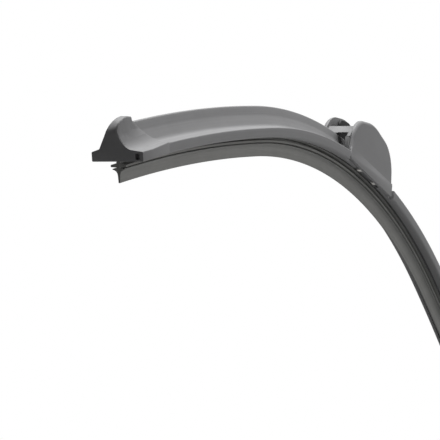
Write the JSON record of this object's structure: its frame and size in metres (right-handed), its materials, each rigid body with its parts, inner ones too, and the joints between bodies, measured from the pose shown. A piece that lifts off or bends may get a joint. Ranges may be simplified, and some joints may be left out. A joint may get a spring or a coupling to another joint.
{
  "type": "flat wiper blade",
  "caption": "Bowed flat wiper blade: a rubber wiping strip on steel rails under a moulded spoiler, with end caps and a rocking connector for a hooked wiper arm.",
  "frame": {"origin": "middle of the pivot pin, 22 mm above the wiping edge at the middle of the blade", "axes": "+X along the blade, +Z away from the glass, -Y the hollow, windward side of the spoiler"},
  "size_m": [0.4424, 0.0201, 0.0977],
  "materials": {
    "wiping_rubber": "matte extruded rubber",
    "rail_steel": "dark coated spring steel",
    "spoiler_grey": "matte extruded grey",
    "moulded_grey": "fine moulded grain",
    "base_steel": "zinc plated",
    "pin_steel": "ground",
    "adapter_black": "fine moulded grain"
  },
  "bodies": {
    "adapter": {"hook_adapter": "adapter_black"},
    "blade": {"wiper_rubber": "wiping_rubber", "front_rail": "rail_steel", "rear_rail": "rail_steel", "spoiler_left": "spoiler_grey", "spoiler_right": "spoiler_grey", "end_cap_left": "moulded_grey", "end_cap_right": "moulded_grey", "connector_base": "base_steel", "connector_cover": "moulded_grey", "pivot_pin": "pin_steel"}
  },
  "joints": [
    {"name": "blade_rock", "type": "hinge", "parent": "adapter", "child": "blade", "pos_m": [0, 0, 0], "axis": [0, 1, 0], "range_deg": [-15, 15]}
  ]
}
